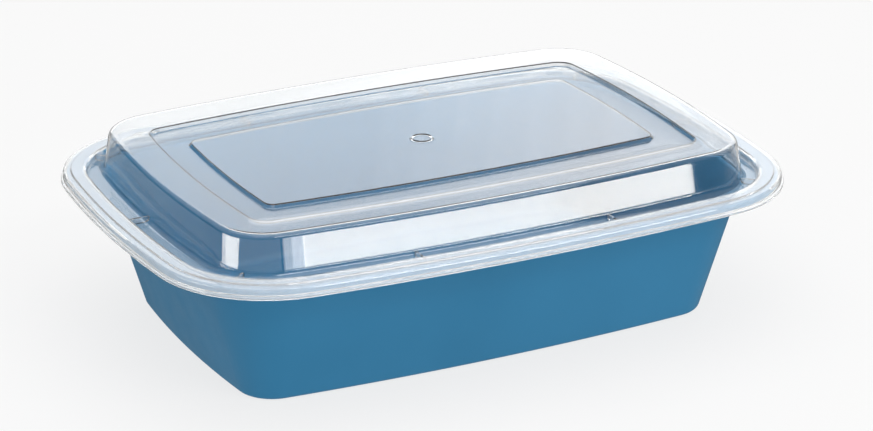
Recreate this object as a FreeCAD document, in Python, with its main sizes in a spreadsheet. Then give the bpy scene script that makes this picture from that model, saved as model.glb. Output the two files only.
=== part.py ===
"""Snap-lid food container: a drafted rectangular tray and a clear domed lid that snaps over its rim.

Millimetres, +Z up. The origin is the middle of the underside of the tray's foot, the long side along X.
Every outline is a bowed rectangle: four shallow side arcs joined by four tangent corner arcs. Offsets of
one outline keep the centres of its arcs, so a section swept round it keeps its thickness everywhere.
An inset is measured inwards from the brim, which is the lid's outer edge.
"""
import FreeCAD, Part
import math
import os

import Sketcher
from FreeCAD import Placement, Rotation, Vector

# ---------------------------------------------------------------- driving sizes

SIZES = {
    # the brim, the largest outline of the object
    "brim_length": 226.0,
    "brim_width": 160.0,
    "brim_corner": 39.3,
    "long_radius": 898.0,
    "short_radius": 425.0,
    # tray
    "tray_wall": 1.0,
    "foot_inset": 27.0,
    "foot_ring": 2.9,
    "foot_round": 2.2,
    "foot_recess": 1.8,
    "floor_round": 3.0,
    "floor_lap": 2.0,
    "wall_inset": 14.0,
    "shoulder_top": 46.4,
    "shoulder_inset": 7.4,
    "rim_top": 48.7,
    "rim_inset": 2.0,
    "lip_low": 46.6,
    "fine_round": 0.2,
    "small_round": 0.3,
    "rim_round": 0.8,
    # lid
    "lid_wall": 0.7,
    "skirt_low": 45.9,
    "skirt_foot": 0.9,
    "skirt_lean": 0.2,
    "edge_rise": 0.8,
    "edge_step": 0.6,
    "snap_bite": 0.35,
    "flat_top": 49.5,
    "flat_inset": 3.2,
    "flat_wall": 0.5,
    "bead_top": 50.0,
    "bead_inset": 8.4,
    "bead_slope": 0.3,
    "bead_draft": 0.2,
    "bead_round": 0.9,
    "channel_floor": 47.4,
    "plate_inset": 9.4,
    "plate_lap": 0.8,
    "dome_length": 195.8,
    "dome_width": 131.8,
    "dome_corner": 20.0,
    "dome_draft": 10.0,
    "dome_top": 61.4,
    "dome_round": 2.2,
    "dome_root": 2.6,
    # the dome's border falls to a stacking groove, and a panel rises inside the groove
    "border_fall": 1.0,
    "groove_length": 165.0,
    "groove_width": 99.6,
    "groove_corner": 6.0,
    "groove_step": 1.3,
    "panel_length": 143.0,
    "panel_width": 71.0,
    "panel_corner": 3.5,
    "panel_top": 59.6,
    "panel_step": 1.2,
    "step_slope": 35.0,
    # ribs across the channel, and the moulding mark
    "rib_width": 1.0,
    "rib_top": 49.2,
    "rib_lap": 0.45,
    "rib_root": 0.1,
    "rib_along": 34.5,
    "corner_rib_x": 91.4,
    "corner_rib_y": 58.4,
    "corner_rib_turn": 45.0,
    "corner_rib_length": 5.6,
    "mark_outer": 4.0,
    "mark_inner": 3.0,
    "mark_rise": 0.3,
}

doc = FreeCAD.newDocument("SnapLidContainer")
sheet = doc.addObject("Spreadsheet::Sheet", "Size")
for row, (alias, value) in enumerate(SIZES.items(), start=1):
    sheet.set(f"A{row}", alias)
    sheet.set(f"B{row}", str(value))
    sheet.setAlias(f"B{row}", alias)
doc.recompute()


def number(expression):
    """The present value of an expression on the sheet."""
    return float(sheet.evalExpression(expression))


# ---------------------------------------------------------------- sketches

def new_sketch(body, name, role, height="0"):
    """An empty sketch on one of the body's origin planes, raised by an expression."""
    plane = next(item for item in body.Origin.OriginFeatures if item.Role == role)
    sketch = body.newObject("Sketcher::SketchObject", name)
    sketch.AttachmentSupport = [(plane, "")]
    sketch.MapMode = "FlatFace"
    sketch.setExpression("AttachmentOffset.Base.z", height)
    return sketch


def constrain(sketch, kind, *references, to=None):
    """Add a constraint; 'to' is the expression that drives its value."""
    if to is None:
        sketch.addConstraint(Sketcher.Constraint(kind, *references))
        return
    index = sketch.addConstraint(Sketcher.Constraint(kind, *references, number(to)))
    sketch.setExpression(f"Constraints[{index}]", to)


def arc(x, y, radius, start, end):
    return Part.ArcOfCircle(Part.Circle(Vector(x, y, 0), Vector(0, 0, 1), radius), start, end)


def corner_centre(long_centre, long_reach, short_centre, short_reach):
    """Where the corner arc's centre lies: long_reach from one side's centre, short_reach from the other's."""
    span = math.hypot(short_centre, long_centre)
    along = (long_reach**2 - short_reach**2 + span**2) / (2 * span)
    across = math.sqrt(long_reach**2 - along**2)
    unit_x = short_centre / span
    unit_y = -long_centre / span
    return (unit_x * along + unit_y * across, long_centre + unit_y * along - unit_x * across)


def add_outline(sketch, length, width, corner):
    """Draw a bowed rectangle; its apex length, apex width and corner radius are expressions."""
    long_radius = f"Size.long_radius - (Size.brim_length - ({length})) / 2"
    short_radius = f"Size.short_radius - (Size.brim_length - ({length})) / 2"
    long_drop = f"{long_radius} - ({width}) / 2"
    short_drop = f"{short_radius} - ({length}) / 2"

    radius = number(corner)
    side, end = number(long_radius), number(short_radius)
    side_y, end_x = -number(long_drop), -number(short_drop)
    x, y = corner_centre(side_y, side - radius, end_x, end - radius)
    low = math.atan2(y, x - end_x)
    high = math.atan2(y - side_y, x)
    half, full = math.pi, 2 * math.pi
    arcs = [
        arc(end_x, 0, end, 0, low),
        arc(x, y, radius, low, high),
        arc(0, side_y, side, high, half - high),
        arc(-x, y, radius, half - high, half - low),
        arc(-end_x, 0, end, half - low, half + low),
        arc(-x, -y, radius, half + low, half + high),
        arc(0, -side_y, side, half + high, full - high),
        arc(x, -y, radius, full - high, full - low),
        arc(end_x, 0, end, full - low, full),
    ]
    first = sketch.GeometryCount
    sketch.addGeometry(arcs, False)
    right_up, top, left, bottom, right_low = (first + item for item in (0, 2, 4, 6, 8))
    start, finish, centre, origin = 1, 2, 3, (-1, 1)
    x_axis, y_axis = -1, -2

    for item in range(first, right_low):
        constrain(sketch, "Tangent", item, finish, item + 1, start)
    constrain(sketch, "Coincident", right_low, finish, right_up, start)
    constrain(sketch, "Coincident", right_low, centre, right_up, centre)
    constrain(sketch, "PointOnObject", right_up, start, x_axis)
    constrain(sketch, "PointOnObject", right_up, centre, x_axis)
    constrain(sketch, "PointOnObject", left, centre, x_axis)
    constrain(sketch, "PointOnObject", top, centre, y_axis)
    constrain(sketch, "PointOnObject", bottom, centre, y_axis)
    constrain(sketch, "Equal", top, bottom)
    constrain(sketch, "Equal", left, right_up)
    for item in (3, 5, 7):
        constrain(sketch, "Equal", first + 1, first + item)
    constrain(sketch, "Radius", top, to=long_radius)
    constrain(sketch, "Radius", left, to=short_radius)
    constrain(sketch, "Radius", first + 1, to=corner)
    constrain(sketch, "DistanceY", top, centre, *origin, to=long_drop)
    constrain(sketch, "DistanceY", *origin, bottom, centre, to=long_drop)
    constrain(sketch, "DistanceX", right_up, centre, *origin, to=short_drop)
    constrain(sketch, "DistanceX", *origin, left, centre, to=short_drop)


def inset_outline(sketch, inset):
    """Draw the brim's outline moved inwards by an expression."""
    add_outline(sketch, f"Size.brim_length - 2 * ({inset})", f"Size.brim_width - 2 * ({inset})",
                f"Size.brim_corner - ({inset})")


def own_outline(sketch, family, inset):
    """Draw the dome's, the groove's or the panel's own outline, moved inwards by an expression."""
    add_outline(sketch, f"Size.{family}_length - 2 * ({inset})", f"Size.{family}_width - 2 * ({inset})",
                f"Size.{family}_corner - ({inset})")


def tangent_points(before, corner, after, radius):
    """Where a round of this radius meets the two edges of a corner, with its centre."""
    back = (before - corner).normalize()
    ahead = (after - corner).normalize()
    half = back.getAngle(ahead) / 2
    reach = radius / math.tan(half)
    centre = corner + (back + ahead).normalize() * (radius / math.sin(half))
    return corner + back * reach, corner + ahead * reach, centre


def add_section(sketch, corners):
    """Draw a closed section. Each corner is (inset, height, round), the round None where it is sharp."""
    across = [f"Size.brim_length / 2 - ({inset})" for inset, _, _ in corners]
    points = [Vector(number(x), number(z), 0) for x, (_, z, _) in zip(across, corners)]
    count = len(corners)
    rounds = {}
    for item, (_, _, radius) in enumerate(corners):
        if radius is not None:
            rounds[item] = tangent_points(points[item - 1], points[item], points[(item + 1) % count],
                                          number(radius))
    for item in range(count):
        follower = (item + 1) % count
        start = rounds[item][1] if item in rounds else points[item]
        end = rounds[follower][0] if follower in rounds else points[follower]
        sketch.addGeometry(Part.LineSegment(start, end), False)

    for item, (_, height, radius) in enumerate(corners):
        before, after = (item - 1) % count, item
        if item not in rounds:
            constrain(sketch, "Coincident", before, 2, after, 1)
            vertex = (after, 1)
        else:
            vertex = (add_round(sketch, before, after, points[item], rounds[item], radius), 1)
        constrain(sketch, "DistanceX", -1, 1, *vertex, to=across[item])
        constrain(sketch, "DistanceY", -1, 1, *vertex, to=height)


def add_round(sketch, before, after, corner, tangents, radius):
    """Join two lines of a section by a tangent arc; returns the point where the lines would have met."""
    entry, leave, centre = tangents
    left_turn = (entry - centre).cross(leave - centre).z > 0
    first, last = (entry, leave) if left_turn else (leave, entry)
    angles = [math.atan2(end.y - centre.y, end.x - centre.x) for end in (first, last)]
    if angles[1] < angles[0]:
        angles[1] += 2 * math.pi
    bend = sketch.addGeometry(arc(centre.x, centre.y, number(radius), *angles), False)
    point = sketch.addGeometry(Part.Point(corner), True)
    arc_in, arc_out = (1, 2) if left_turn else (2, 1)
    constrain(sketch, "Tangent", before, 2, bend, arc_in)
    constrain(sketch, "Tangent", bend, arc_out, after, 1)
    constrain(sketch, "PointOnObject", point, 1, before)
    constrain(sketch, "PointOnObject", point, 1, after)
    constrain(sketch, "Radius", bend, to=radius)
    return point


# ---------------------------------------------------------------- features

def new_body(label):
    body = doc.addObject("PartDesign::Body", label)
    body.Label = label
    return body


def sweep(body, name, section, spine):
    feature = body.newObject("PartDesign::AdditivePipe", name)
    feature.Profile = section
    feature.Spine = (spine, [])
    feature.Mode = "Frenet"
    return feature


def raised(body, kind, name, sketch, height, slope=None, turned=False):
    """A Pad above or a Pocket below a level sketch; turned makes a Pad go down and a Pocket cut upwards."""
    feature = body.newObject(f"PartDesign::{kind}", name)
    feature.Profile = sketch
    feature.Reversed = turned
    feature.setExpression("Length", height)
    if slope is not None:
        feature.setExpression("TaperAngle", slope)
    return feature


def sloped(body, kind, name, wide, narrow):
    """A loft between two level outlines, each given as (family, inset, height)."""
    sketches = []
    for end, (family, inset, height) in (("Wide", wide), ("Narrow", narrow)):
        sketch = new_sketch(body, name + end, "XY_Plane", height)
        own_outline(sketch, family, inset)
        sketches.append(sketch)
    feature = body.newObject(f"PartDesign::{kind}", name)
    feature.Profile = sketches[0]
    feature.Sections = [sketches[1]]
    feature.Ruled = True
    return feature


def dome_edges(feature, height):
    """Names of the edges that run level round the dome at a height."""
    doc.recompute()
    tolerance = 0.01
    reach = SIZES["dome_length"] / 2 + tolerance
    names = []
    for item, edge in enumerate(feature.Shape.Edges, start=1):
        ends = [vertex.Point for vertex in edge.Vertexes]
        level = all(abs(end.z - height) < tolerance for end in ends)
        within = all(abs(end.x) < reach for end in ends)
        if level and within:
            names.append(f"Edge{item}")
    return names


def round_edges(body, name, base, height, radius):
    feature = body.newObject("PartDesign::Fillet", name)
    feature.Base = (base, dome_edges(base, height))
    feature.setExpression("Radius", radius)
    return feature


# ---------------------------------------------------------------- tray

def build_tray():
    """Foot ring, drafted wall, shoulder, riser, rim and lip are one swept section; the floor fills it."""
    body = new_body("base_tray")
    spine = new_sketch(body, "FootOutline", "XY_Plane")
    inset_outline(spine, "Size.foot_inset")

    draft = "(Size.foot_inset - Size.wall_inset) / (Size.shoulder_top - Size.tray_wall)"
    wall_across = f"Size.tray_wall * sqrt(1 + ({draft})^2)"
    floor_top = "Size.foot_recess + Size.tray_wall"
    riser_out = "Size.shoulder_inset - Size.tray_wall"
    lip_in = "Size.rim_inset + Size.tray_wall"
    shoulder_low = "Size.shoulder_top - Size.tray_wall"
    rim_low = "Size.rim_top - Size.tray_wall"
    ring_inner = "Size.foot_inset + Size.foot_ring"
    lap_inset = f"{ring_inner} + Size.floor_lap"
    inner_low = f"Size.foot_inset - ({floor_top}) * {draft} + {wall_across}"
    inner_high = f"Size.foot_inset - Size.shoulder_top * {draft} + {wall_across}"
    section = new_sketch(body, "WallSection", "XZ_Plane")
    add_section(section, [
        (ring_inner, "0", "Size.small_round"),
        ("Size.foot_inset", "0", "Size.foot_round"),
        ("Size.wall_inset", shoulder_low, "2 * Size.tray_wall"),
        (riser_out, shoulder_low, "Size.tray_wall"),
        (riser_out, rim_low, "Size.small_round"),
        (lip_in, rim_low, "Size.small_round"),
        (lip_in, "Size.lip_low", "Size.fine_round"),
        ("Size.rim_inset", "Size.lip_low", "Size.fine_round"),
        ("Size.rim_inset", "Size.rim_top", "Size.rim_round"),
        ("Size.shoulder_inset", "Size.rim_top", "Size.rim_round"),
        ("Size.shoulder_inset", "Size.shoulder_top", "Size.rim_round"),
        (inner_high, "Size.shoulder_top", "Size.tray_wall"),
        (inner_low, floor_top, "Size.floor_round"),
        (lap_inset, floor_top, None),
        (lap_inset, "Size.foot_recess", None),
        (ring_inner, "Size.foot_recess", "Size.small_round"),
    ])
    sweep(body, "Wall", section, spine)

    plate = new_sketch(body, "FloorOutline", "XY_Plane", "Size.foot_recess")
    inset_outline(plate, f"{ring_inner} + Size.floor_lap / 2")
    raised(body, "Pad", "Floor", plate, "Size.tray_wall")
    return body


# ---------------------------------------------------------------- lid

def build_lid():
    """Skirt, bead and channel are one swept section; a drafted dome rises inside it."""
    body = new_body("snap_lid")
    add_brim(body)
    add_dome(body)
    add_border(body)
    add_ribs(body)
    add_groove(body)
    add_panel(body)
    add_mark(body)
    return body


def add_brim(body):
    """The skirt has a small outer edge and a snap bead inside it; the bead stands over the tray's rim."""
    spine = new_sketch(body, "BrimOutline", "XY_Plane")
    inset_outline(spine, "0")
    edge_top = "Size.skirt_low + Size.edge_rise"
    skirt_top = "Size.edge_step + Size.skirt_lean"
    channel_low = "Size.channel_floor - Size.lid_wall"
    under_flat = "Size.flat_top - Size.flat_wall"
    inner_wall = "Size.bead_inset - Size.lid_wall"
    lap_inset = "Size.plate_inset + Size.plate_lap"
    section = new_sketch(body, "BrimSection", "XZ_Plane")
    add_section(section, [
        ("0", "Size.skirt_low", "Size.fine_round"),
        ("0", edge_top, "Size.fine_round"),
        ("Size.edge_step", f"{edge_top} + Size.fine_round", "Size.fine_round"),
        (skirt_top, "Size.flat_top", "Size.rim_round"),
        ("Size.flat_inset", "Size.flat_top", "Size.fine_round"),
        ("Size.flat_inset + Size.bead_slope", "Size.bead_top", "Size.small_round"),
        ("Size.bead_inset", "Size.bead_top", "Size.bead_round"),
        ("Size.bead_inset + Size.bead_draft", "Size.channel_floor", "Size.rim_round"),
        (lap_inset, "Size.channel_floor", None),
        (lap_inset, channel_low, None),
        (f"{inner_wall} + Size.bead_draft", channel_low, "Size.bead_round"),
        (inner_wall, under_flat, "Size.small_round"),
        (f"{skirt_top} + Size.lid_wall", under_flat, "Size.small_round"),
        ("Size.edge_step + Size.lid_wall", f"{edge_top} + Size.flat_wall", "Size.small_round"),
        ("Size.edge_step + Size.lid_wall + Size.snap_bite", edge_top, "Size.small_round"),
        ("Size.skirt_foot", "Size.skirt_low", "Size.fine_round"),
    ])
    sweep(body, "Brim", section, spine)


# Levels of the dome's top, each the outer face of a sheet one wall thick.
GROOVE_TOP = "Size.dome_top - Size.border_fall"
GROOVE_FLOOR = "Size.dome_top - Size.border_fall - Size.groove_step"
PANEL_FOOT = "Size.panel_top - Size.panel_step"

# How far the foot of each slope lies inside the outline that it starts from.
DOME_LEAN = "(Size.dome_top - Size.channel_floor) * tan(Size.dome_draft)"
GROOVE_LEAN = "Size.groove_step * tan(Size.step_slope)"
PANEL_LEAN = "Size.panel_step * tan(Size.step_slope)"


def behind(slope):
    """How far inside a sloped face's foot its inner face starts, one wall thickness lower."""
    return f"Size.lid_wall * (1 - sin({slope})) / cos({slope})"


def under(height):
    """The inner face's level under a level of the outer face."""
    return f"{height} - Size.lid_wall"


def add_dome(body):
    """The channel's floor, and a drafted dome with its inside one wall thickness behind the outside."""
    plate = new_sketch(body, "ChannelOutline", "XY_Plane", under("Size.channel_floor"))
    inset_outline(plate, "Size.plate_inset")
    raised(body, "Pad", "Channel", plate, "Size.lid_wall")

    foot = new_sketch(body, "DomeOutline", "XY_Plane", "Size.channel_floor")
    own_outline(foot, "dome", "0")
    raised(body, "Pad", "Dome", foot, "Size.dome_top - Size.channel_floor", "-Size.dome_draft")

    mouth = new_sketch(body, "HollowOutline", "XY_Plane", under("Size.channel_floor"))
    own_outline(mouth, "dome", behind("Size.dome_draft"))
    raised(body, "Pocket", "Hollow", mouth, "Size.dome_top - Size.channel_floor", "-Size.dome_draft",
           turned=True)


def add_border(body):
    """The dome's top falls from its edge towards the middle, inside first and then outside."""
    ceiling = sloped(body, "AdditiveLoft", "UnderBorder",
                     ("dome", f"{DOME_LEAN} + {behind('Size.dome_draft')}", under("Size.dome_top")),
                     ("groove", "-" + behind("Size.step_slope"), under(GROOVE_TOP)))
    ceiling_level = SIZES["dome_top"] - SIZES["lid_wall"]
    mouth_level = SIZES["channel_floor"] - SIZES["lid_wall"]
    inside = round_edges(body, "HollowRound", ceiling, ceiling_level, "Size.dome_round - Size.lid_wall")
    round_edges(body, "HollowMouth", inside, mouth_level, "Size.dome_root + Size.lid_wall")

    border = sloped(body, "SubtractiveLoft", "Border", ("dome", DOME_LEAN, "Size.dome_top"),
                    ("groove", "0", GROOVE_TOP))
    outside = round_edges(body, "DomeRound", border, SIZES["dome_top"], "Size.dome_round")
    round_edges(body, "DomeRoot", outside, SIZES["channel_floor"], "Size.dome_root")


def add_ribs(body):
    """Short ribs cross the channel from bead to dome: two on each long side, one at each end and corner."""
    side_gap = "(Size.brim_width - Size.dome_width) / 2 - Size.bead_inset"
    side_middle = f"Size.dome_width / 2 + ({side_gap}) / 2 - Size.rib_along^2 / (2 * Size.long_radius)"
    end_gap = "(Size.brim_length - Size.dome_length) / 2 - Size.bead_inset"
    end_middle = f"Size.dome_length / 2 + ({end_gap}) / 2"
    for side in (-1, 1):
        add_rib(body, f"{side} * ({end_middle})", "0", "0", f"{end_gap} + 2 * Size.rib_lap")
        for along in (-1, 1):
            add_rib(body, f"{along} * Size.rib_along", f"{side} * ({side_middle})", "90",
                    f"{side_gap} + 2 * Size.rib_lap")
            add_rib(body, f"{along} * Size.corner_rib_x", f"{side} * Size.corner_rib_y",
                    f"{side * along} * Size.corner_rib_turn", "Size.corner_rib_length")


def add_rib(body, x, y, turn, length):
    """An upright plate centred on (x, y), its length turned this many degrees from the X axis."""
    rib = body.newObject("PartDesign::AdditiveBox", "Rib")
    plane = next(item for item in body.Origin.OriginFeatures if item.Role == "XY_Plane")
    rib.AttachmentSupport = [(plane, "")]
    rib.MapMode = "FlatFace"
    rib.AttachmentOffset = Placement(Vector(), Rotation(Vector(0, 0, 1), number(turn)))
    rib.setExpression("Length", length)
    rib.setExpression("Width", "Size.rib_width")
    rib.setExpression("Height", "Size.rib_top - Size.channel_floor + Size.rib_root")
    along, across = f"({length}) / 2", "Size.rib_width / 2"
    rib.setExpression("AttachmentOffset.Base.x", f"{x} - {along} * cos({turn}) + {across} * sin({turn})")
    rib.setExpression("AttachmentOffset.Base.y", f"{y} - {along} * sin({turn}) - {across} * cos({turn})")
    rib.setExpression("AttachmentOffset.Base.z", "Size.channel_floor - Size.rib_root")


def add_groove(body):
    """A step down inside the border, and a groove floor that goes on falling to the panel's foot."""
    wall = behind("Size.step_slope")
    lower = new_sketch(body, "UnderGrooveOutline", "XY_Plane", under(GROOVE_TOP))
    own_outline(lower, "groove", "-" + wall)
    raised(body, "Pad", "UnderGroove", lower, "Size.groove_step", "-Size.step_slope", turned=True)
    sloped(body, "AdditiveLoft", "UnderFloor", ("groove", f"{GROOVE_LEAN} - {wall}", under(GROOVE_FLOOR)),
           ("panel", f"{wall} - {PANEL_LEAN}", under(PANEL_FOOT)))

    upper = new_sketch(body, "GrooveOutline", "XY_Plane", GROOVE_TOP)
    own_outline(upper, "groove", "0")
    raised(body, "Pocket", "Groove", upper, "Size.groove_step", "-Size.step_slope")
    sloped(body, "SubtractiveLoft", "Floor", ("groove", GROOVE_LEAN, GROOVE_FLOOR),
           ("panel", "-" + PANEL_LEAN, PANEL_FOOT))


def add_panel(body):
    """A step up inside the groove to the flat panel in the middle."""
    foot = new_sketch(body, "PanelOutline", "XY_Plane", PANEL_FOOT)
    own_outline(foot, "panel", "-" + PANEL_LEAN)
    raised(body, "Pad", "Panel", foot, "Size.panel_step", "-Size.step_slope")

    lower = new_sketch(body, "UnderPanelOutline", "XY_Plane", under(PANEL_FOOT))
    own_outline(lower, "panel", f"{behind('Size.step_slope')} - {PANEL_LEAN}")
    raised(body, "Pocket", "UnderPanel", lower, "Size.panel_step", "-Size.step_slope", turned=True)


def add_mark(body):
    """A plain ring in the middle of the panel, where the plastic is injected."""
    mark = new_sketch(body, "MarkOutline", "XY_Plane", "Size.panel_top")
    for radius in ("Size.mark_outer", "Size.mark_inner"):
        circle = mark.addGeometry(Part.Circle(Vector(), Vector(0, 0, 1), number(radius)), False)
        constrain(mark, "Coincident", circle, 3, -1, 1)
        constrain(mark, "Radius", circle, to=radius)
    raised(body, "Pad", "Mark", mark, "Size.mark_rise")


# ---------------------------------------------------------------- build, check, write

def check(parts):
    doc.recompute()
    for item in doc.Objects:
        if "Invalid" in item.State or "Error" in item.State:
            raise RuntimeError(f"{item.Label} did not build: {item.State}")
    for body in parts:
        if body.Shape.isNull() or not body.Shape.isValid():
            raise RuntimeError(f"{body.Label} has no valid shape")
        if len(body.Shape.Solids) != 1:
            raise RuntimeError(f"{body.Label} is {len(body.Shape.Solids)} solids")


parts = [build_tray(), build_lid()]
check(parts)
os.makedirs("parts", exist_ok=True)
for body in parts:
    body.Shape.exportStep(os.path.join("parts", body.Label + ".step"))
    box = body.Shape.BoundBox
    print(body.Label, round(body.Shape.Volume, 1), "mm3", [round(size, 2) for size in
          (box.XMin, box.YMin, box.ZMin, box.XMax, box.YMax, box.ZMax)])
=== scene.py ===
"""Looks of the snap-lid container: a satin blue tray under a clear domed lid, on a pale studio floor.

Metres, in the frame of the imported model. All materials are procedural. Tray and lid are built here as closed
skins of level rings, so that their plastic bends and mirrors light smoothly at every round.
"""
import math

import bpy
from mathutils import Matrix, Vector


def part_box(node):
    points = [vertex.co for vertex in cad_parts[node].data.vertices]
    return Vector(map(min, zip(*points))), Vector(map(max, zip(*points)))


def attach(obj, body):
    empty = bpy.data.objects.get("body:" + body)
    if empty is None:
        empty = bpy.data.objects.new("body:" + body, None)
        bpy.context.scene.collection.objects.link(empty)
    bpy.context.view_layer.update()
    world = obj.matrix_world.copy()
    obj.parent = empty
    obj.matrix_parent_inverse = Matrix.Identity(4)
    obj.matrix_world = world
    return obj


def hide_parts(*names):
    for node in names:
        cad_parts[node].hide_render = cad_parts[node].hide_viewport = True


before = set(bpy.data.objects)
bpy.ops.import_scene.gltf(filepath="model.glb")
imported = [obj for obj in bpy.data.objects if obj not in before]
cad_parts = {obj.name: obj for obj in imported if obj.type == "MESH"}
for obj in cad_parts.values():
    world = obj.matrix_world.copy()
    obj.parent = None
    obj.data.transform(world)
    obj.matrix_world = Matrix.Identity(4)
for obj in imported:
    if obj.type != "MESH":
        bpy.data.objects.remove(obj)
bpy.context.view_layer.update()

MM = 0.001
LID_LOW, LID_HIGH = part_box("snap_lid")
TRAY_LOW, TRAY_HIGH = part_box("base_tray")

# ------------------------------------------------------------------ sizes of the sections

# Each outline family is (half length, half width, corner radius) of a bowed rectangle.
BRIM = (LID_HIGH.x, LID_HIGH.y, 39.3 * MM)
DOME = (97.9 * MM, 65.9 * MM, 20 * MM)
GROOVE = (82.5 * MM, 49.8 * MM, 6 * MM)
PANEL = (71.5 * MM, 35.5 * MM, 3.5 * MM)

LONG_BOW = 898 * MM
SHORT_BOW = 425 * MM

TRAY_WALL = 1.0 * MM
FOOT_INSET = 27 * MM
FOOT_RING = 2.9 * MM
FOOT_RECESS = 1.8 * MM
WALL_INSET = 14 * MM
SHOULDER_TOP = 46.4 * MM
SHOULDER_INSET = 7.4 * MM
RIM_TOP = TRAY_HIGH.z
RIM_INSET = 2.0 * MM
LIP_LOW = RIM_TOP - 2.1 * MM

WALL = 0.7 * MM
SKIRT_LOW = LID_LOW.z
FLAT_TOP = SKIRT_LOW + 3.6 * MM
BEAD_TOP = SKIRT_LOW + 4.1 * MM
CHANNEL_FLOOR = SKIRT_LOW + 1.5 * MM
DOME_TOP = 61.4 * MM
DOME_DRAFT = math.radians(10)
GROOVE_TOP = DOME_TOP - 1.0 * MM
GROOVE_STEP = 1.3 * MM
PANEL_TOP = DOME_TOP - 1.8 * MM
PANEL_STEP = 1.2 * MM
STEP_SLOPE = math.radians(35)

MARK_OUTER = 4 * MM
MARK_INNER = 3 * MM
MARK_RISE = 0.3 * MM
MARK_EDGE = 0.4 * MM

RIB_WIDTH = 1.0 * MM
RIB_TOP = SKIRT_LOW + 3.3 * MM

END_STEPS = 6
CORNER_STEPS = 14
SIDE_STEPS = 10
ROUND_STEP = math.radians(12)


def corner_centre(side_centre, side_reach, end_centre, end_reach):
    """Where a corner arc's centre lies: these reaches from the centres of the long and the short side's arcs."""
    span = math.hypot(end_centre, side_centre)
    along = (side_reach**2 - end_reach**2 + span**2) / (2 * span)
    across = math.sqrt(side_reach**2 - along**2)
    unit_x = end_centre / span
    unit_y = -side_centre / span
    return unit_x * along + unit_y * across, side_centre + unit_y * along - unit_x * across


def arc_points(centre, radius, start, end, steps):
    """Points along an arc, without its last one."""
    for step in range(steps):
        angle = start + (end - start) * step / steps
        yield centre[0] + radius * math.cos(angle), centre[1] + radius * math.sin(angle)


def ring(family, reach, height):
    """One level ring of a family's outline, where reach is its half length at the apex of its short side."""
    half_length, half_width, corner = family
    inset = half_length - reach
    width = half_width - inset
    radius = max(corner - inset, 0.2 * MM)
    side = LONG_BOW - (BRIM[0] - reach)
    end = SHORT_BOW - (BRIM[0] - reach)
    side_centre, end_centre = width - side, reach - end
    x, y = corner_centre(side_centre, side - radius, end_centre, end - radius)
    low = math.atan2(y, x - end_centre)
    high = math.atan2(y - side_centre, x)
    quarter = [
        *arc_points((end_centre, 0), end, 0, low, END_STEPS),
        *arc_points((x, y), radius, low, high, CORNER_STEPS),
        *arc_points((0, side_centre), side, high, math.pi / 2, SIDE_STEPS),
    ]
    top = (0, width)
    mirrored = [(-px, py) for px, py in reversed(quarter[1:])]
    upper = [*quarter, top, *mirrored]
    lower = [(px, -py) for px, py in reversed(upper[1:])]
    return [Vector((px, py, height)) for px, py in [*upper, (-reach, 0), *lower]]


def circle(radius, height, like):
    """A level circle whose points lie in the same directions as those of another ring."""
    return [Vector((point.x, point.y, 0)).normalized() * radius + Vector((0, 0, height)) for point in like]


def rounded(corners):
    """Points along a section whose corners are (family, reach, height, radius), the arcs included."""
    points = []
    for item, (family, reach, height, radius) in enumerate(corners):
        here = Vector((reach, height))
        if item in (0, len(corners) - 1) or radius == 0:
            points.append((family, here))
            continue
        back = (Vector(corners[item - 1][1:3]) - here).normalized()
        ahead = (Vector(corners[item + 1][1:3]) - here).normalized()
        half = back.angle(ahead) / 2
        centre = here + (back + ahead).normalized() * (radius / math.sin(half))
        first = here + back * (radius / math.tan(half)) - centre
        turn = math.pi - 2 * half
        if back.x * ahead.y - back.y * ahead.x > 0:
            turn = -turn
        steps = max(2, round(abs(turn) / ROUND_STEP))
        for step in range(steps + 1):
            angle = turn * step / steps
            spoke = Vector((first.x * math.cos(angle) - first.y * math.sin(angle),
                            first.x * math.sin(angle) + first.y * math.cos(angle)))
            points.append((family, centre + spoke))
    return points


def inner_corners(corners, wall):
    """The same section one wall further in; its rounds keep their centres."""
    moved = []
    for item, (family, reach, height, radius) in enumerate(corners):
        here = Vector((reach, height))
        before = Vector(corners[max(item - 1, 0)][1:3])
        after = Vector(corners[min(item + 1, len(corners) - 1)][1:3])
        incoming = (here - before).normalized() if item else (after - here).normalized()
        outgoing = (after - here).normalized() if item < len(corners) - 1 else incoming
        normals = [Vector((-way.y, way.x)) for way in (incoming, outgoing)]
        shift = (normals[0] + normals[1]) * (wall / (1 + normals[0].dot(normals[1])))
        turns_in = incoming.x * outgoing.y - incoming.y * outgoing.x > 0
        bend = radius - wall if turns_in else radius + wall
        moved.append((family, reach + shift.x, height + shift.y, max(bend, 0.1 * MM)))
    return moved


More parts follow.
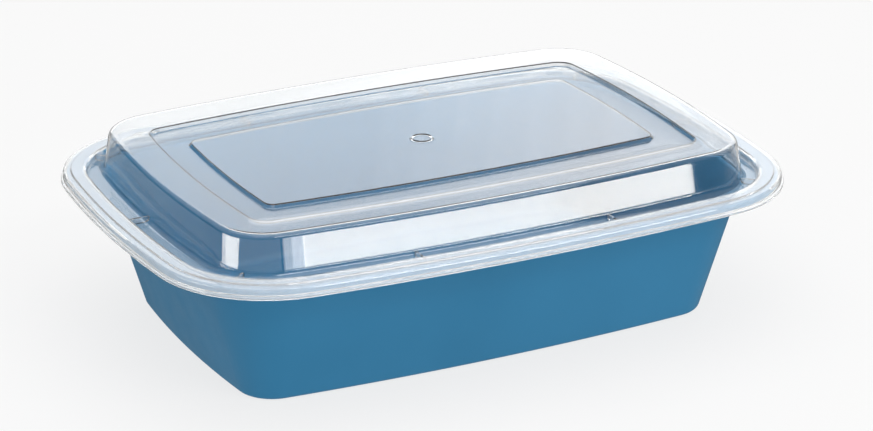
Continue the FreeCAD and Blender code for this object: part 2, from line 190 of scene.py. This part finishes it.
def tray_rings():
    """All rings of the tray, from the middle of its underside up the wall, over the rim and down to the floor."""
    edge = BRIM[0]
    lean = (FOOT_INSET - WALL_INSET) / (SHOULDER_TOP - TRAY_WALL)
    floor = FOOT_RECESS + TRAY_WALL
    inner = FOOT_INSET + TRAY_WALL * math.hypot(1, lean)
    middle = (BRIM, edge - 60 * MM)
    section = [
        (*middle, FOOT_RECESS, 0),
        (BRIM, edge - FOOT_INSET - FOOT_RING, FOOT_RECESS, 0.3 * MM),
        (BRIM, edge - FOOT_INSET - FOOT_RING, TRAY_LOW.z, 0.3 * MM),
        (BRIM, edge - FOOT_INSET, TRAY_LOW.z, 2.2 * MM),
        (BRIM, edge - WALL_INSET, SHOULDER_TOP - TRAY_WALL, 2 * MM),
        (BRIM, edge - SHOULDER_INSET + TRAY_WALL, SHOULDER_TOP - TRAY_WALL, 1 * MM),
        (BRIM, edge - SHOULDER_INSET + TRAY_WALL, RIM_TOP - TRAY_WALL, 0.3 * MM),
        (BRIM, edge - RIM_INSET - TRAY_WALL, RIM_TOP - TRAY_WALL, 0.3 * MM),
        (BRIM, edge - RIM_INSET - TRAY_WALL, LIP_LOW, 0.2 * MM),
        (BRIM, edge - RIM_INSET, LIP_LOW, 0.2 * MM),
        (BRIM, edge - RIM_INSET, RIM_TOP, 0.8 * MM),
        (BRIM, edge - SHOULDER_INSET, RIM_TOP, 0.8 * MM),
        (BRIM, edge - SHOULDER_INSET, SHOULDER_TOP, 0.8 * MM),
        (BRIM, edge - inner + SHOULDER_TOP * lean, SHOULDER_TOP, 1 * MM),
        (BRIM, edge - inner + floor * lean, floor, 3 * MM),
        (*middle, floor, 0),
    ]
    return [ring(family, *point) for family, point in rounded(section)]


def lid_rings():
    """All rings of the lid, from the middle of its ceiling down to the skirt and back over the top."""
    edge = BRIM[0]
    under_brim = [
        (BRIM, edge - 10.4 * MM, CHANNEL_FLOOR - WALL, 0),
        (BRIM, edge - 7.9 * MM, CHANNEL_FLOOR - WALL, 0.9 * MM),
        (BRIM, edge - 7.7 * MM, FLAT_TOP - 0.5 * MM, 0.4 * MM),
        (BRIM, edge - 1.5 * MM, FLAT_TOP - 0.5 * MM, 0.5 * MM),
        (BRIM, edge - 1.3 * MM, SKIRT_LOW + 1.3 * MM, 0.3 * MM),
        (BRIM, edge - 1.65 * MM, SKIRT_LOW + 0.8 * MM, 0.3 * MM),
        (BRIM, edge - 0.9 * MM, SKIRT_LOW, 0.2 * MM),
        (BRIM, edge - 0.45 * MM, SKIRT_LOW, 0),
    ]
    brim = [
        (BRIM, edge - 0.45 * MM, SKIRT_LOW, 0),
        (BRIM, edge, SKIRT_LOW, 0.2 * MM),
        (BRIM, edge, SKIRT_LOW + 0.8 * MM, 0.25 * MM),
        (BRIM, edge - 0.6 * MM, SKIRT_LOW + 1.0 * MM, 0.2 * MM),
        (BRIM, edge - 0.8 * MM, FLAT_TOP, 0.8 * MM),
        (BRIM, edge - 3.2 * MM, FLAT_TOP, 0.2 * MM),
        (BRIM, edge - 3.5 * MM, BEAD_TOP, 0.3 * MM),
        (BRIM, edge - 8.4 * MM, BEAD_TOP, 0.9 * MM),
        (BRIM, edge - 8.6 * MM, CHANNEL_FLOOR, 0.8 * MM),
        (BRIM, edge - 10.4 * MM, CHANNEL_FLOOR, 0),
    ]
    dome_reach = DOME[0] - (DOME_TOP - CHANNEL_FLOOR) * math.tan(DOME_DRAFT)
    down = GROOVE_STEP * math.tan(STEP_SLOPE)
    up = PANEL_STEP * math.tan(STEP_SLOPE)
    dome = [
        (BRIM, edge - 10.4 * MM, CHANNEL_FLOOR, 0),
        (DOME, DOME[0], CHANNEL_FLOOR, 2.6 * MM),
        (DOME, dome_reach, DOME_TOP, 2.2 * MM),
        (GROOVE, GROOVE[0], GROOVE_TOP, 0.3 * MM),
        (GROOVE, GROOVE[0] - down, GROOVE_TOP - GROOVE_STEP, 0.3 * MM),
        (PANEL, PANEL[0] + up, PANEL_TOP - PANEL_STEP, 0.3 * MM),
        (PANEL, PANEL[0], PANEL_TOP, 0.3 * MM),
        (PANEL, PANEL[0] - 1 * MM, PANEL_TOP, 0),
    ]
    inside = rounded(inner_corners(dome, WALL))[::-1][:-1] + rounded(under_brim)[:-1]
    outside = rounded(brim)[:-1] + rounded(dome)
    under = [ring(family, *point) for family, point in inside]
    over = [ring(family, *point) for family, point in outside]
    under.insert(0, circle(MARK_OUTER, PANEL_TOP - WALL, under[0]))
    mark = [
        (MARK_OUTER + MARK_EDGE, 0),
        (MARK_OUTER, 0),
        (MARK_OUTER - MARK_EDGE, MARK_RISE),
        (MARK_INNER + MARK_EDGE, MARK_RISE),
        (MARK_INNER, 0),
        (MARK_INNER - MARK_EDGE, 0),
    ]
    over.extend([circle(radius, PANEL_TOP + rise, over[-1]) for radius, rise in mark])
    return under + over


def mesh_object(name, vertices, faces):
    mesh = bpy.data.meshes.new(name)
    mesh.from_pydata([tuple(vertex) for vertex in vertices], [], faces)
    mesh.shade_smooth()
    mesh.update()
    piece = bpy.data.objects.new(name, mesh)
    bpy.context.scene.collection.objects.link(piece)
    return piece


def skin(rings):
    """Vertices and faces of a closed skin through rings, the first and the last one closed by a fan."""
    count = len(rings[0])
    vertices = [point for loop in rings for point in loop]
    faces = []
    for level in range(len(rings) - 1):
        low, high = level * count, (level + 1) * count
        for item in range(count):
            after = (item + 1) % count
            faces.append((low + item, low + after, high + after, high + item))
    for level, turn in ((0, -1), (len(rings) - 1, 1)):
        middle = len(vertices)
        vertices.append(Vector((0, 0, rings[level][0].z)))
        for item in range(count):
            pair = (level * count + item, level * count + (item + 1) % count)
            faces.append((*pair[::turn], middle))
    return vertices, faces


def add_rib(vertices, faces, middle, turn, length):
    """A small upright plate across the channel, its length turned this many degrees from the X axis."""
    along = Vector((math.cos(math.radians(turn)), math.sin(math.radians(turn)), 0)) * (length / 2)
    across = Vector((-along.y, along.x, 0)).normalized() * (RIB_WIDTH / 2)
    first = len(vertices)
    for height in (CHANNEL_FLOOR, RIB_TOP):
        level = Vector((*middle, height))
        vertices.extend([level - along - across, level + along - across, level + along + across,
                         level - along + across])
    faces.append((first + 3, first + 2, first + 1, first))
    faces.append((first + 4, first + 5, first + 6, first + 7))
    for item in range(4):
        after = (item + 1) % 4
        faces.append((first + item, first + after, first + 4 + after, first + 4 + item))


def add_ribs(vertices, faces):
    """Two ribs on each long side, and one at each end and corner."""
    for side in (-1, 1):
        add_rib(vertices, faces, (side * 101.25 * MM, 0), 0, 7.2 * MM)
        for along in (-1, 1):
            add_rib(vertices, faces, (along * 34.5 * MM, side * 68.1 * MM), 90, 6.2 * MM)
            add_rib(vertices, faces, (along * 91.4 * MM, side * 58.4 * MM), side * along * 45, 5.2 * MM)


def build_lid():
    """The rim is a little hazier than the rest, and the ribs are sharp edged."""
    vertices, faces = skin(lid_rings())
    first_rib_face = len(faces)
    add_ribs(vertices, faces)
    lid = mesh_object("clear_lid", vertices, faces)
    for face in lid.data.polygons[first_rib_face:]:
        face.use_smooth = False
    lid.data.materials.append(lid_plastic("lid_plastic", haze=0.004))
    lid.data.materials.append(lid_plastic("lid_rim_plastic", haze=0.18))
    inner_edge = BRIM[0] - 8.4 * MM
    outline = [corner.to_2d() for corner in ring(BRIM, inner_edge, 0)]
    for face in lid.data.polygons:
        middle = face.center.to_2d()
        nearest = min(outline, key=lambda corner: (corner - middle).length)
        if middle.length > nearest.length:
            face.material_index = 1
    return lid


def build_tray():
    tray = mesh_object("satin_tray", *skin(tray_rings()))
    tray.data.materials.append(tray_plastic())
    return tray


# ------------------------------------------------------------------ materials

def new_material(name):
    material = bpy.data.materials.new(name)
    material.use_nodes = True
    nodes = material.node_tree.nodes
    return material, nodes, material.node_tree.links, nodes["Principled BSDF"]


def noise(nodes, links, scale, detail=3.0):
    """Smooth noise in the piece's own frame; scale counts its features per metre."""
    place = nodes.new("ShaderNodeTexCoord")
    texture = nodes.new("ShaderNodeTexNoise")
    texture.inputs["Scale"].default_value = scale
    texture.inputs["Detail"].default_value = detail
    links.new(place.outputs["Object"], texture.inputs["Vector"])
    return texture.outputs["Fac"]


def spread(nodes, links, value, low, high):
    """Map noise, which stays near its middle, to the range from low to high."""
    scale = nodes.new("ShaderNodeMapRange")
    scale.inputs["From Min"].default_value = 0.3
    scale.inputs["From Max"].default_value = 0.7
    scale.inputs["To Min"].default_value = low
    scale.inputs["To Max"].default_value = high
    links.new(value, scale.inputs["Value"])
    return scale.outputs["Result"]


def blend(nodes, links, value, first, second):
    """A colour between two others, chosen by a value between 0 and 1."""
    mix = nodes.new("ShaderNodeMix")
    mix.data_type = "RGBA"
    mix.inputs["A"].default_value = (*first, 1)
    mix.inputs["B"].default_value = (*second, 1)
    links.new(value, mix.inputs["Factor"])
    return mix.outputs["Result"]


def add_bump(nodes, links, shader, value, strength, depth):
    bump = nodes.new("ShaderNodeBump")
    bump.inputs["Strength"].default_value = strength
    bump.inputs["Distance"].default_value = depth
    links.new(value, bump.inputs["Height"])
    links.new(bump.outputs["Normal"], shader.inputs["Normal"])


def tray_plastic():
    """Satin blue polypropylene: a fine moulded grain, cloudy pigment and slightly uneven gloss."""
    material, nodes, links, shader = new_material("tray_plastic")
    pigment = spread(nodes, links, noise(nodes, links, 22), 0, 1)
    colour = blend(nodes, links, pigment, (0.014, 0.141, 0.279), (0.018, 0.159, 0.311))
    links.new(colour, shader.inputs["Base Color"])
    gloss = spread(nodes, links, noise(nodes, links, 90), 0.40, 0.50)
    links.new(gloss, shader.inputs["Roughness"])
    add_bump(nodes, links, shader, noise(nodes, links, 1400, 2), 0.25, 0.03 * MM)
    shader.inputs["Specular IOR Level"].default_value = 0.32
    return material


def lid_plastic(name, haze):
    """Clear polypropylene with a slight waviness; haze is the share of light that it scatters as white."""
    material, nodes, links, shader = new_material(name)
    tint = spread(nodes, links, noise(nodes, links, 15), 0, 1)
    colour = blend(nodes, links, tint, (0.885, 0.895, 0.90), (0.905, 0.915, 0.92))
    links.new(colour, shader.inputs["Base Color"])
    gloss = spread(nodes, links, noise(nodes, links, 60), 0.012, 0.035)
    links.new(gloss, shader.inputs["Roughness"])
    add_bump(nodes, links, shader, noise(nodes, links, 45, 1), 0.3, 0.06 * MM)
    shader.inputs["IOR"].default_value = 1.49
    shader.inputs["Transmission Weight"].default_value = 1 - haze
    return material


# ------------------------------------------------------------------ studio

def direction(azimuth, elevation):
    """The unit vector from the object towards a place seen at this azimuth (0 is the front) and elevation."""
    across, up = math.radians(azimuth), math.radians(elevation)
    return Vector((math.sin(across) * math.cos(up), -math.cos(across) * math.cos(up), math.sin(up)))


def add_camera():
    data = bpy.data.cameras.new("camera")
    data.lens = 127.8
    camera = bpy.data.objects.new("camera", data)
    bpy.context.scene.collection.objects.link(camera)
    target = Vector((2.91 * MM, -5.05 * MM, 33.1 * MM))
    away = direction(-26.75, 21.74)
    camera.location = target + away * 1.0369
    camera.rotation_mode = "QUATERNION"
    camera.rotation_quaternion = (-away).to_track_quat("-Z", "Y")
    data.clip_start, data.clip_end = 0.05, 50
    bpy.context.scene.camera = camera


def add_softbox(name, azimuth, elevation, distance, width, height, radiance, colour=(1, 1, 1)):
    data = bpy.data.lights.new(name, "AREA")
    data.shape = "RECTANGLE"
    data.size, data.size_y = width, height
    data.energy = radiance * math.pi * width * height
    data.color = colour
    lamp = bpy.data.objects.new(name, data)
    bpy.context.scene.collection.objects.link(lamp)
    away = direction(azimuth, elevation)
    lamp.location = Vector((0, 0, LID_LOW.z)) + away * distance
    lamp.rotation_mode = "QUATERNION"
    lamp.rotation_quaternion = away.to_track_quat("Z", "Y")
    lamp.visible_camera = False
    return lamp


def add_world():
    """A room that is grey below, dark at the horizon and pale above."""
    world = bpy.data.worlds.new("studio")
    world.use_nodes = True
    nodes, links = world.node_tree.nodes, world.node_tree.links
    place = nodes.new("ShaderNodeTexCoord")
    split = nodes.new("ShaderNodeSeparateXYZ")
    ramp = nodes.new("ShaderNodeValToRGB")
    height = nodes.new("ShaderNodeMapRange")
    height.inputs["From Min"].default_value = -1
    links.new(place.outputs["Generated"], split.inputs[0])
    links.new(split.outputs["Z"], height.inputs["Value"])
    links.new(height.outputs["Result"], ramp.inputs[0])
    stops = ramp.color_ramp.elements
    while len(stops) < 4:
        stops.new(0.5)
    for stop, (position, grey) in zip(stops, ((0.2, 0.4), (0.35, 0.03), (0.6, 0.06), (0.75, 0.7))):
        stop.position = position
        stop.color = (grey, grey, grey, 1)
    links.new(ramp.outputs["Color"], nodes["Background"].inputs["Color"])
    nodes["Background"].inputs["Strength"].default_value = 1
    bpy.context.scene.world = world


def add_floor():
    """A pale floor that glows as a painted pool of light, bright in the middle and falling off to grey; the
    plastics don't mirror it.
    """
    side = 6.0
    corners = [(-side, -side, 0), (side, -side, 0), (side, side, 0), (-side, side, 0)]
    floor = mesh_object("floor", corners, [(0, 1, 2, 3)])
    floor.location.z = -0.0002
    material, nodes, links, shader = new_material("pale_floor_painted_glow")
    shader.inputs["Base Color"].default_value = (0.14, 0.14, 0.14, 1)
    shader.inputs["Roughness"].default_value = 0.9
    shader.inputs["Specular IOR Level"].default_value = 0
    # Painted light: the floor's own emission is strongest within 0.6 m and fades beyond 1.4 m, a painted pool of
    # light that also washes out the floor's shadows
    shader.inputs["Emission Color"].default_value = (1, 1, 1, 1)
    place = nodes.new("ShaderNodeTexCoord")
    distance = nodes.new("ShaderNodeVectorMath")
    distance.operation = "LENGTH"
    painted_pool_glow = nodes.new("ShaderNodeMapRange")
    painted_pool_glow.interpolation_type = "SMOOTHSTEP"
    painted_pool_glow.inputs["From Min"].default_value = 0.6
    painted_pool_glow.inputs["From Max"].default_value = 1.4
    painted_pool_glow.inputs["To Min"].default_value = 0.77
    painted_pool_glow.inputs["To Max"].default_value = 0.1
    links.new(place.outputs["Object"], distance.inputs[0])
    links.new(distance.outputs["Value"], painted_pool_glow.inputs["Value"])
    links.new(painted_pool_glow.outputs["Result"], shader.inputs["Emission Strength"])
    floor.data.materials.append(material)
    floor.visible_glossy = False


bpy.context.scene.view_settings.view_transform = "Standard"
add_camera()
add_world()
add_floor()
add_softbox("back_panel", 150, 19.5, 1.5, 1.9, 0.89, 1.15)
add_softbox("back_glow", 150, 8, 1.45, 1.9, 0.3, 0.35)
for step in range(8):
    add_softbox(f"back_side_{step}", 139.5 - 0.6 * step, 24, 1.48, 0.76 - 0.031 * step, 0.5, 0.0875)
add_softbox("front_window", 23.8, 1, 1.2, 0.635, 0.36, 10.8, (1, 0.95, 0.87))
add_softbox("front_key", 15, 40, 1.2, 0.8, 0.2, 6.5)
add_softbox("corner_fill", -37, 1, 1.2, 1.85, 0.36, 0.9)
for step in range(3):
    add_softbox(f"front_fade_{step}", 3.6 + 2.15 * step, 1, 1.2, 0.045, 0.36, 2.0 + 2.7 * step)
add_softbox("left_window", -93, 1, 1.2, 0.8, 0.18, 9.8, (1, 0.95, 0.87))
add_softbox("ceiling", 0, 88, 1.2, 1.6, 1.6, 1.35)

lid = build_lid()
lid.visible_shadow = False
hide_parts("snap_lid")
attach(lid, "lid")

tray = build_tray()
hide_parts("base_tray")
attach(tray, "tray")
